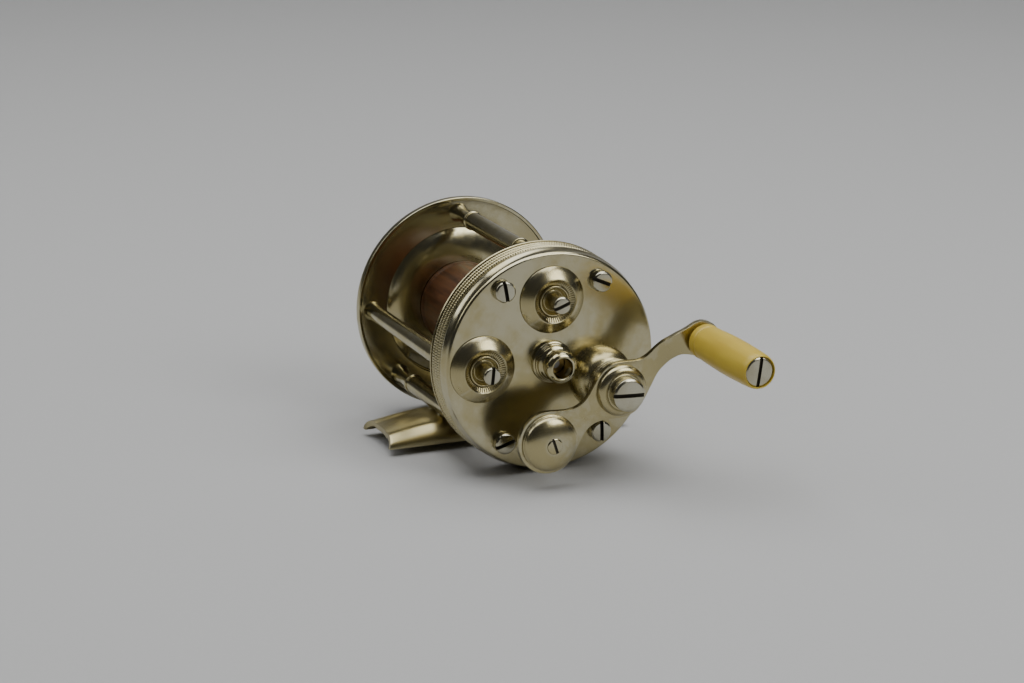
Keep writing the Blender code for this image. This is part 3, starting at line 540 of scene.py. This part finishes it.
def make_band():
    seat = high_x("head_band")
    rim = RIM / MM - 0.03
    teeth, bead, groove = 260, 0.86, 0.52
    profile = [(0.0, 24.62), (0.0, rim - 0.75)]
    start = -0.12
    for _ in range(3):
        profile += arc(start - bead / 2, rim - 0.40, bead / 2, 0.36, 0, 180, 8)
        start -= bead
        profile += [(start - 0.05, rim - 1.2), (start - groove + 0.10, rim - 1.2)]
        start -= groove - 0.05
    profile += [(start, rim - 0.1), (-4.36, rim), (-4.46, rim - 0.2), (-4.46, 24.62)]

    def milled(x, r, a):
        return 0.055 * (math.cos(teeth * a) - 1) if x > start + groove and r > rim - 0.45 else 0.0

    return dress(lathe("head_band_fine", profile, SPOOL_AXIS, seat, teeth * 4, milled, closed=True),
                 dark_silver, "frame", "head_band", slot="nickel_silver", sharp=50)


tell(make_cover(), make_band())

# %% [markdown]
# ## The bearing caps
# The spool runs in a little cap on each plate: a collar, a waist, a swelling barrel and a rolled lip round
# an open oil hole. Many small radii close together give it its string of highlights.

# %% Bearing caps
def make_cap(name, node, seat, side):
    collar = [(0, 2.3), (0, 4.75, 0.2), (0.75, 4.75, 0.35), (0.95, 4.35, 0.15), (1.35, 4.35, 0.15)]
    waist = [(1.5, 4.1, 0.2), (2.1, 4.05, 0.3), (2.45, 3.3, 0.4), (3.2, 3.0, 0.5)]
    barrel = [(3.7, 3.45, 0.5), (4.6, 3.75, 0.8), (5.6, 3.62, 0.6), (6.2, 3.25, 0.35)]
    lip = [(6.4, 2.95, 0.12), (6.55, 2.7, 0.2), (6.5, 2.35, 0.15), (6.0, 2.2, 0.2)]
    profile = filleted(collar + waist + barrel + lip + [(1.0, 2.2), (0.2, 2.2)], 0.2, 4)
    return dress(lathe(name, profile, SPOOL_AXIS, seat, 96, side=side, closed=True), bright_silver, "frame",
                 node, slot="nickel_silver", sharp=45)


AIR = 0.05 * MM    # the gap left between a plate and what stands on it
tell(make_cap("head_cap_fine", "head_bearing_cap", FACE + AIR, 1),
     make_cap("tail_cap_fine", "tail_bearing_cap", low_x("tail_plate") - AIR, -1))

# %% [markdown]
# ## Sliding buttons
# Click and drag each have a domed skirt that covers the slot, a ring milled on its inner slope for the
# thumbnail, a smooth inner ring and a tall post with a slotted end. The milling is a square ripple on the
# slope's radius, because a cutter leaves square teeth there and a knurling wheel leaves round ones.

# %% Buttons
def make_button(prefix, body, turn):
    node = prefix + "_button"
    axis, seat = middle(node), low_x(node)
    skirt = (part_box(node)[1][2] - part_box(node)[0][2]) / 2 / MM
    post = (high_x(node) - seat) / MM
    ridge, slope_foot, teeth = 4.92, 3.62, 54
    profile = filleted([(0.0, skirt, 0.05), (0.22, skirt, 0.15), (0.85, 6.9, 0.8), (1.55, 5.9, 0.9),
                        (2.0, 5.15, 0.2), (2.08, ridge, 0.06)], 0.2, 6)
    slope = [(2.02 - 0.75 * k / 6, ridge + (slope_foot - ridge) * k / 6) for k in range(1, 7)]
    inner = filleted([(1.15, 3.55), (1.7, 3.42, 0.12), (1.75, 3.1, 0.15), (0.9, 2.75, 0.2), (0.55, 2.3, 0.2),
                      (0.9, 1.85, 0.15), (post, 1.75, 0.1), (post, 0.1)], 0.1, 4)

    def milled(x, r, a):
        return 0.55 if slope_foot + 0.15 < r < ridge - 0.4 and math.cos(teeth * a) > 0 else 0.0

    piece = lathe(node + "_fine", profile + slope + inner, axis, seat, teeth * 6, milled)
    dress(piece, turned_silver, body, node, slot="nickel_silver", sharp=40)
    tell(piece, screw_head(node + "_screw_fine", node + "_screw", 2.0, 0.95, 0.4, turn, body,
                           slot_wide=0.40))


make_button("click", "click_button", 84)
make_button("drag", "drag_button", 20)

# %% [markdown]
# ## The crank's turned parts
# A bell-shaped boss stands on the cover, then a stack of thin rings, the arm, a domed washer and a big
# flat screw. On the arm's far end a stepped, domed counterweight balances the knob.

# %% Boss, collar, washer, screw and counterweight
def make_boss():
    seat = FACE + AIR
    tall = (high_x("crank_boss") - seat) / MM
    profile = [(0, SHAFT_HOLE), (0, 7.2)] + arc(0.05, 4.15, tall * 0.74, 3.08, 88, 4, 16)
    profile += filleted([(tall * 0.76, 4.2), (tall * 0.88, 3.95, 0.2), (tall, 3.9, 0.1),
                         (tall, SHAFT_HOLE)], 0.2, 4)
    return dress(lathe("crank_boss_fine", profile, CRANK_AXIS, seat, 128), dark_silver,
                 "frame", "crank_boss", slot="nickel_silver", sharp=50)


def make_collar():
    seat = low_x("crank_collar")
    tall = (high_x("crank_collar") - seat) / MM
    wide = 6.3
    groove = wide - 0.4
    profile = filleted([(0, SHAFT_HOLE), (0, wide - 0.35, 0.15), (tall * 0.28, wide - 0.05, 0.2),
                        (tall * 0.34, groove, 0.08), (tall * 0.42, groove, 0.08),
                        (tall * 0.46, wide, 0.2), (tall * 0.66, wide, 0.2),
                        (tall * 0.70, groove, 0.08), (tall * 0.78, groove, 0.08),
                        (tall * 0.82, wide, 0.15), (tall, wide, 0.1), (tall, SHAFT_HOLE)], 0.15, 4)
    return dress(lathe("crank_collar_fine", profile, CRANK_AXIS, seat, 128), turned_silver,
                 "crank", "crank_collar", slot="nickel_silver", sharp=50)


def make_washer():
    seat = low_x("crank_washer")
    tall = (high_x("crank_washer") - seat) / MM
    profile = [(0, 2.0), (0, 5.7)] + arc(0.35, 4.0, tall - 0.75, 1.78, 90, 8, 12)
    profile += filleted([(tall - 0.42, 4.3), (tall - 0.42, 4.12, 0.05), (tall, 4.08, 0.15), (tall, 1.7)],
                        0.1, 3)
    return dress(lathe("crank_washer_fine", profile, CRANK_AXIS, seat, 128), turned_silver,
                 "crank", "crank_washer", slot="nickel_silver", sharp=50)


def make_counterweight():
    seat = low_x("counterweight")
    tall = (high_x("counterweight") - seat) / MM
    profile = filleted([(0, 1.0), (0, 6.35, 0.1), (0.4, 6.38, 0.15), (0.5, 6.05, 0.06), (0.62, 6.05, 0.06),
                        (0.7, 6.3, 0.1), (0.95, 6.3, 0.1), (1.0, 6.2)], 0.1, 3)
    profile += arc(1.05, 0, tall - 1.0, 6.17, 90, 17, 18)
    profile += filleted([(tall - 0.12, 1.86), (tall - 0.5, 1.84, 0.1), (tall - 0.5, 0.4)], 0.05, 2)
    return dress(lathe("counterweight_fine", profile, WEIGHT_AXIS, seat, 128), turned_silver,
                 "crank", "counterweight", slot="nickel_silver", sharp=50)


tell(make_boss(), make_collar(), make_washer(), make_counterweight(),
     screw_head("counterweight_screw_fine", "counterweight_screw", 1.78, 0.34, 0.18, -72, "crank",
                slot_wide=0.36, finish=bright_silver),
     screw_head("crank_screw_fine", "crank_screw", 3.72, 2.2, 0.4, -3, "crank", slot_deep=0.3))

# %% [markdown]
# ## The crank arm
# The arm is sawn from flat stock: a round pad under the weight, a round hub and a small pad under the
# knob, with slim waists between, and it bends outward towards the knob. Its width and its lift are written
# as functions of the distance along it, a strip follows them, and Solidify and Bevel give it body.

# %% Crank arm
ARM_TILT = math.atan2(KNOB_AXIS.z - CRANK_AXIS.z, KNOB_AXIS.y - CRANK_AXIS.y)
KNOB_REACH = math.hypot(KNOB_AXIS.z - CRANK_AXIS.z, KNOB_AXIS.y - CRANK_AXIS.y)
WEIGHT_REACH = math.hypot(WEIGHT_AXIS.z - CRANK_AXIS.z, WEIGHT_AXIS.y - CRANK_AXIS.y)
ARM_THICK = 1.4 * MM
ARM_LIFT = 0.135 * RIM
ARM_FRONT = low_x("crank_washer") - 0.1 * MM
WEIGHT_PAD, HUB, KNOB_PAD = 0.28 * RIM, 0.25 * RIM, 0.169 * RIM
WAIST, NECK, NECK_BEND = 0.11 * RIM, 0.092 * RIM, 0.085 * RIM
WAIST_AT, NECK_AT, NECK_END = 0.38 * RIM, 0.40 * RIM, 0.56 * RIM


def ease(value, low, high):
    share = min(1.0, max(0.0, (value - low) / (high - low)))
    return 0.5 - 0.5 * math.cos(math.pi * share)


def arm_half_width(s):
    if s < -WEIGHT_REACH:
        return math.sqrt(max(0.0, WEIGHT_PAD ** 2 - (s + WEIGHT_REACH) ** 2))
    if s < -WAIST_AT:
        return WEIGHT_PAD + (WAIST - WEIGHT_PAD) * ease(s, -WEIGHT_REACH, -WAIST_AT)
    if s < 0:
        return WAIST + (HUB - WAIST) * ease(s, -WAIST_AT, 0)
    if s < NECK_AT:
        return HUB + (NECK - HUB) * ease(s, 0, NECK_AT)
    if s < KNOB_REACH:
        return NECK + (KNOB_PAD - NECK) * ease(s, NECK_END, KNOB_REACH)
    return math.sqrt(max(0.0, KNOB_PAD ** 2 - (s - KNOB_REACH) ** 2))


def arm_line(s):
    """Sideways bend and outward lift at s along the arm."""
    bend = NECK_BEND * (ease(s, 0.25 * RIM, NECK_END) - ease(s, 0.58 * RIM, KNOB_REACH))
    return bend, ARM_LIFT * ease(s, 0.30 * RIM, 0.72 * RIM)


def make_arm():
    ends = [math.radians(a) for a in (3, 8, 14, 22, 30, 40, 50, 60, 70, 80)]
    stations = [-WEIGHT_REACH - WEIGHT_PAD * math.cos(a) for a in ends]
    count = 90
    stations += [-WEIGHT_REACH + (KNOB_REACH + WEIGHT_REACH) * i / count for i in range(count + 1)]
    stations += [KNOB_REACH + KNOB_PAD * math.cos(a) for a in reversed(ends)]
    columns = (-1, -0.5, 0, 0.5, 1)
    work = bmesh.new()
    grid = []
    for s in stations:
        half, (bend, lift) = arm_half_width(s), arm_line(s)
        grid.append([work.verts.new((lift, s, bend + c * half)) for c in columns])
    for first, second in zip(grid, grid[1:]):
        for j in range(len(columns) - 1):
            work.faces.new((first[j], second[j], second[j + 1], first[j + 1]))
    mesh = bpy.data.meshes.new("crank_arm_fine")
    work.to_mesh(mesh)
    work.free()
    arm = bpy.data.objects.new("crank_arm_fine", mesh)
    bpy.context.scene.collection.objects.link(arm)
    arm.location = (ARM_FRONT, CRANK_AXIS.y, CRANK_AXIS.z)
    mesh.transform(Matrix.Rotation(ARM_TILT, 4, "X"))
    thick = arm.modifiers.new("thickness", "SOLIDIFY")
    thick.thickness = ARM_THICK
    thick.offset = -1
    soft = arm.modifiers.new("soft", "BEVEL")
    soft.width = 0.42 * MM
    soft.segments = 3
    soft.limit_method = "ANGLE"
    apply_modifiers(arm)
    return dress(arm, turned_silver, "crank", "crank_arm", slot="nickel_silver", sharp=40)


tell(make_arm())

# %% [markdown]
# ## The knob
# A slim barrel with a little ring turned at its foot, its open end recessed for a big flat screw. It turns
# on the spindle, so it rides on its own body while the screw rides with the crank.

# %% Knob
def make_knob():
    seat = low_x("knob")
    long = (high_x("knob") - seat) / MM
    radius = 3.95
    profile = filleted([(0, 1.5), (0, 3.7, 0.4), (0.35, radius, 0.3), (1.9, radius, 0.3), (2.35, 3.72, 0.2),
                        (2.75, radius - 0.05, 0.3), (3.2, radius)], 0.3, 5)
    swell = [(3.4 + (long - 5.0) * k / 16, radius + 0.28 * math.sin(math.pi * k / 16)) for k in range(17)]
    profile += swell
    profile += filleted([(long - 1.2, radius - 0.05), (long - 0.25, radius - 0.25, 0.5), (long, 3.5, 0.12),
                         (long - 0.1, 3.38, 0.1), (long - 1.0, 3.38), (long - 1.0, 1.5)], 0.2, 4)
    return dress(lathe("knob_fine", profile, KNOB_AXIS, seat, 128), ivory_finish, "knob", "knob",
                 slot="ivory", sharp=55)


tell(make_knob(), screw_head("knob_screw_fine", "knob_screw", 3.28, 0.6, 0.3, 82, "crank", slot_deep=0.6))

# %% [markdown]
# ## Tail plate, rim, flanges and arbor
# The tail plate has a shallow pocket for the spool's flange and a thin bright rim. The flanges are dished
# and polished, and sit flush in the plates, with only a hairline between. The arbor is turned wood with a
# small swelling at each end.

# %% Tail plate, rim, flanges and arbor
def make_tail():
    pocket = (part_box("tail_flange")[1][2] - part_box("tail_flange")[0][2]) / 2 / MM + 0.3
    thick = (TAIL_INNER - low_x("tail_plate")) / MM
    floor_of_pocket = -1.35
    outline = filleted([(floor_of_pocket, SHAFT_HOLE), (floor_of_pocket, pocket), (0, pocket, 0.08),
                        (0, 24.55), (-thick, 24.55, 0.1), (-thick, SHAFT_HOLE)], 0.08, 3)
    plate = dress(lathe("tail_plate_fine", outline, SPOOL_AXIS, TAIL_INNER, 192, closed=True), plate_silver,
                  "frame", "tail_plate", slot="nickel_silver", sharp=40)
    high = (high_x("tail_rim") - TAIL_INNER) / MM
    low = (low_x("tail_rim") - TAIL_INNER) / MM
    rim = RIM / MM
    edge = filleted([(high, 24.6), (high, 24.85, 0.1), (high, rim - 0.02, 0.22), (high - 1.0, rim, 0.2),
                     (low + 1.6, rim, 0.5), (low, rim - 0.8, 0.3), (low, 24.5)], 0.15, 4)
    ring = dress(lathe("tail_rim_fine", edge, SPOOL_AXIS, TAIL_INNER, 256, closed=True), bright_silver,
                 "frame", "tail_rim", slot="nickel_silver", sharp=50)
    tell(plate, ring)


def make_flange(name, node, side):
    edge = (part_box(node)[1][2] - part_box(node)[0][2]) / 2 / MM
    seat = TAIL_INNER if side > 0 else HEAD_INNER
    rise, foot_radius, sunk = 1.5, 11.0, 0.6
    dish = [(-1.0, 1.6), (-1.0, edge), (-sunk, edge), (-sunk + 0.06, edge - 0.2)]
    for k in range(1, 17):
        r = edge - 0.2 - (edge - 0.2 - foot_radius) * k / 16
        out = (r - foot_radius) / (edge - foot_radius)
        dish.append((-sunk + 0.06 + rise * (1 - out ** 2), r))
    profile = dish + [(dish[-1][0], 1.6)]
    return dress(lathe(name, profile, SPOOL_AXIS, seat, 192, side=side, closed=True), flange_silver,
                 "spool", node, slot="nickel_silver", sharp=45)


def make_arbor():
    seat = low_x("arbor")
    long = (high_x("arbor") - seat) / MM
    wide = 9.8
    profile = filleted([(0, 1.6), (0, wide + 0.35, 0.3), (0.6, wide + 0.35, 0.4), (1.4, wide, 0.8),
                        (long - 1.4, wide, 0.8), (long - 0.6, wide + 0.35, 0.4), (long, wide + 0.35, 0.3),
                        (long, 1.6)], 0.3, 5)
    return dress(lathe("arbor_fine", profile, SPOOL_AXIS, seat, 128), wood_finish, "spool", "arbor",
                 slot="arbor_wood", sharp=50)


make_tail()
tell(make_flange("tail_flange_fine", "tail_flange", 1), make_flange("head_flange_fine", "head_flange", -1),
     make_arbor())

# %% [markdown]
# ## The pillars
# Five pillars hold the plates apart. The top one and the two that carry the foot have a turned ring and a
# slim neck towards each end. The front and rear ones are plain rods that flare where they meet the plates.
# Half the outline is written down and mirrored, because both ends of a pillar are alike.

# %% Pillars
def make_pillar(name):
    node = "pillar_" + name
    axis = middle(node)
    end = (high_x(node) - low_x(node)) / 2 / MM
    radius, ring = 2.05, 15.0
    half = [(0, radius), (ring - 1.5, radius, 0.1), (ring - 1.4, radius + 0.25, 0.15),
            (ring - 0.9, radius + 0.28, 0.2), (ring - 0.5, radius + 0.25, 0.15), (ring - 0.4, 1.75, 0.1),
            (end - 3.0, 1.7, 1.2), (end - 0.6, radius + 0.1, 0.6), (end, radius + 0.3, 0.2)]
    if name in ("front", "rear"):
        half = [(0, 1.95), (end - 2.5, 1.95, 2.0), (end - 0.5, 2.15, 0.5), (end, 2.3, 0.2)]
    outline = [(-x, *rest) for x, *rest in reversed(half)] + half[1:]
    profile = filleted([(-end, 0.4)] + outline + [(end, 0.4)], 0.1, 4)
    return dress(lathe(node + "_fine", profile, axis, MIDDLE, 64), pillar_silver, "frame", node,
                 slot="nickel_silver", sharp=40)


TAIL_SCREWS = {"top": 102, "front": 165, "rear": 50, "foot_front": 123, "foot_rear": 24}
for name, turn in TAIL_SCREWS.items():
    tell(make_pillar(name),
         screw_head("tail_screw_%s_fine" % name, "tail_screw_" + name, 1.9, 0.75, 0.3, turn, "frame",
                    side=-1))

# %% [markdown]
# ## The foot
# The foot is a bent plate, arched over the rod and hollow below, narrower and lower towards its ends. A
# shallow flute is milled along its top at each end, and the tips are cut back in a curve. A grid of points
# is laid over that shape, then thickened downward, because it is a sheet of even thickness on the real one.

# %% Foot
def make_foot():
    low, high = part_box("foot")
    centre = middle("foot")
    half_long = (high[1] - low[1]) / 2
    mid_half, tip_half = 9.0 * MM, 8.8 * MM
    lift, top, tip_top = low[2], high[2], 5.0 * MM
    wall, flute_deep, tip_cut = 1.3 * MM, 0.5 * MM, 1.2 * MM
    saddle = 15 * MM    # half the straight middle, where the pillars stand
    across, along_count = 32, 72
    work = bmesh.new()

    def shape(u, v):
        """u runs 0 to 1 over the arch, v runs -1 to 1 along the foot."""
        y = v * half_long
        along = max(0.0, (abs(y) - saddle) / (half_long - saddle))
        half = mid_half + (tip_half - mid_half) * along
        crown = top + (tip_top - top) * along ** 1.5 - lift
        t = math.pi * (1 - u)
        rise = max(0.0, math.sin(t)) if 0 < u < 1 else 0.0
        x, z = half * math.cos(t), lift + crown * rise ** 0.85
        flute = ease(abs(y), saddle, 16.6 * MM) * (1 - ease(abs(x - 0.8 * MM), 3.6 * MM, 5.2 * MM))
        cut_back = math.copysign(tip_cut * along ** 3, y) * rise
        return x, y - cut_back, z - flute_deep * flute

    def add_sheet(inset):
        rows = []
        for j in range(along_count + 1):
            v = -1 + 2 * j / along_count
            row = []
            for i in range(across + 1):
                x, y, z = shape(i / across, v)
                if inset:
                    shrink = (mid_half - wall) / mid_half
                    x, z = x * shrink, max(lift, z - wall * max(0.0, math.sin(math.pi * i / across)) ** 0.5)
                row.append(work.verts.new((centre.x + x, centre.y + y, z)))
            rows.append(row)
        return rows

    outer, inner = add_sheet(False), add_sheet(True)
    for sheet in (outer, inner):
        for a, b in zip(sheet, sheet[1:]):
            for i in range(across):
                work.faces.new((a[i], a[i + 1], b[i + 1], b[i]))
    for i in range(across):
        for j in (0, along_count):
            work.faces.new((outer[j][i], outer[j][i + 1], inner[j][i + 1], inner[j][i]))
    for j in range(along_count):
        for i in (0, across):
            work.faces.new((outer[j][i], outer[j + 1][i], inner[j + 1][i], inner[j][i]))
    bmesh.ops.recalc_face_normals(work, faces=work.faces)
    mesh = bpy.data.meshes.new("foot_fine")
    work.to_mesh(mesh)
    work.free()
    foot = bpy.data.objects.new("foot_fine", mesh)
    bpy.context.scene.collection.objects.link(foot)
    soft = foot.modifiers.new("soft", "BEVEL")
    soft.width = 0.25 * MM
    soft.segments = 3
    soft.limit_method = "ANGLE"
    soft.angle_limit = math.radians(50)
    apply_modifiers(foot)
    return dress(foot, foot_silver, "frame", "foot", slot="nickel_silver", sharp=45)


tell(make_foot())

# %% [markdown]
# ## Finishes for the parts that stay
# The gears, shafts, slides and springs are inside the head and keep their CAD shapes. They still get a
# real finish, because they show when the model is taken apart.

# %% Inner parts
INNER_FINISH = {"brass": brass_finish, "steel": steel_finish, "nickel_silver": turned_silver,
                "screw_steel": screw_finish, "ivory": ivory_finish, "arbor_wood": wood_finish}
for entry in frame["record"]["subparts"]:
    cad_piece = frame["nodes"].get(entry["node"])
    if cad_piece and cad_piece.type == "MESH":
        cad_piece.data.materials.clear()
        cad_piece.data.materials.append(INNER_FINISH[entry["material_slot"]])

# %% [markdown]
# ## Floor and light
# The reel stands on pale grey paper that sweeps up behind it. One large soft light hangs above and a
# little behind, a smaller one stands at the front right and a weak one at the left, and the room round
# them is dark. Polished metal shows what is around it, so the dark room gives the shadows in it as much as
# the lights give the shine.

# %% Studio
def make_floor():
    width, front, back, rise, bend = 3.0, 1.4, 1.0, 1.4, 0.35
    outline = [(front, 0.0), (-back + bend, 0.0)]
    outline += [(-back + bend - bend * math.sin(math.radians(a)), bend - bend * math.cos(math.radians(a)))
                for a in range(10, 91, 10)]
    outline += [(-back, rise)]
    towards = Vector((math.cos(VIEW_AZIMUTH), math.sin(VIEW_AZIMUTH), 0))
    across = Vector((-towards.y, towards.x, 0))
    work = bmesh.new()
    rows = [[work.verts.new(towards * d + across * s + Vector((0, 0, z))) for s in (-width, width)]
            for d, z in outline]
    for a, b in zip(rows, rows[1:]):
        work.faces.new((a[0], a[1], b[1], b[0]))
    mesh = bpy.data.meshes.new("paper_floor")
    work.to_mesh(mesh)
    work.free()
    floor = bpy.data.objects.new("paper_floor", mesh)
    bpy.context.scene.collection.objects.link(floor)
    finish = Finish("paper")
    tooth = finish.noise(900, 3)
    finish.set(Base_Color=finish.mix(tooth, (0.435, 0.437, 0.435), (0.46, 0.462, 0.46)),
               Roughness=tooth * 0.1 + 0.75)
    mesh.materials.append(finish.material)
    for polygon in mesh.polygons:
        polygon.use_smooth = True


def soft_light(name, size, power, azimuth, elevation, distance):
    lamp = bpy.data.lights.new(name, "AREA")
    lamp.shape = "RECTANGLE"
    lamp.size, lamp.size_y = size
    lamp.energy = power
    holder = bpy.data.objects.new(name, lamp)
    a, e = math.radians(azimuth), math.radians(elevation)
    towards = Vector((math.cos(e) * math.cos(a), math.cos(e) * math.sin(a), math.sin(e)))
    holder.location = Vector((0, 0, 0.02)) + towards * distance
    holder.rotation_euler = towards.to_track_quat("Z", "Y").to_euler()
    bpy.context.scene.collection.objects.link(holder)


make_floor()
soft_light("top_light", (1.0, 1.0), 8.8, 157, 82, 0.8)
soft_light("front_right_light", (0.45, 0.4), 2.6, 35, 38, 0.8)
soft_light("left_light", (0.4, 0.5), 1.3, -115, 38, 0.9)
world = bpy.data.worlds.new("room")
world.use_nodes = True
world.node_tree.nodes["Background"].inputs["Color"].default_value = (0.80, 0.81, 0.82, 1)
world.node_tree.nodes["Background"].inputs["Strength"].default_value = 0.045
bpy.context.scene.world = world
print("lights:", len(bpy.data.lights))
